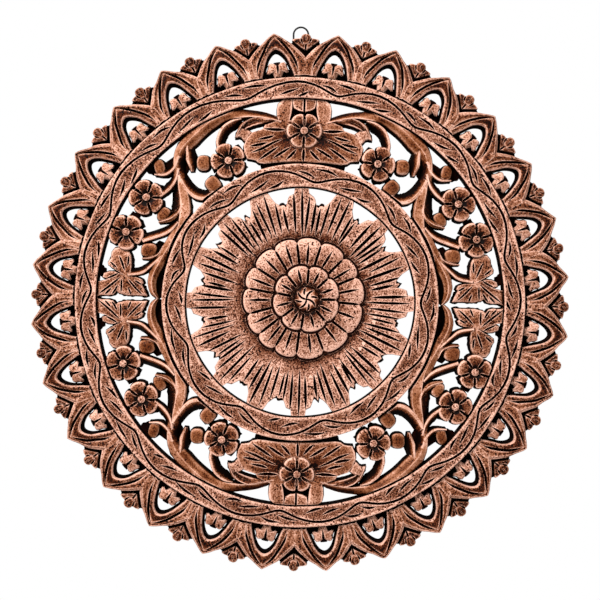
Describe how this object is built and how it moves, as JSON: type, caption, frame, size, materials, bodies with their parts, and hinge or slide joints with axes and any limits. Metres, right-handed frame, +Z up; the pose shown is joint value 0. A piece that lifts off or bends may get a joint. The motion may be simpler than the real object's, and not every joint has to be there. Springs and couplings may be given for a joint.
{
  "type": "carved wooden wall hanging",
  "caption": "Round pierced wooden wall panel carved with a rosette, leafy vines and a petal border, hung by a wire loop.",
  "frame": {"origin": "middle of the flat back, on the plane of the wall", "axes": "+Z up the wall, +X to the viewer's right, +Y into the wall; the carving faces -Y"},
  "size_m": [0.6, 0.022, 0.61],
  "materials": {
    "coppered_wood": "copper-brown rubbed over a near-black stain, satin",
    "black_wire": "black, satin"
  },
  "bodies": {
    "root": {"carved_panel": "coppered_wood", "hanging_loop": "black_wire"}
  },
  "joints": []
}
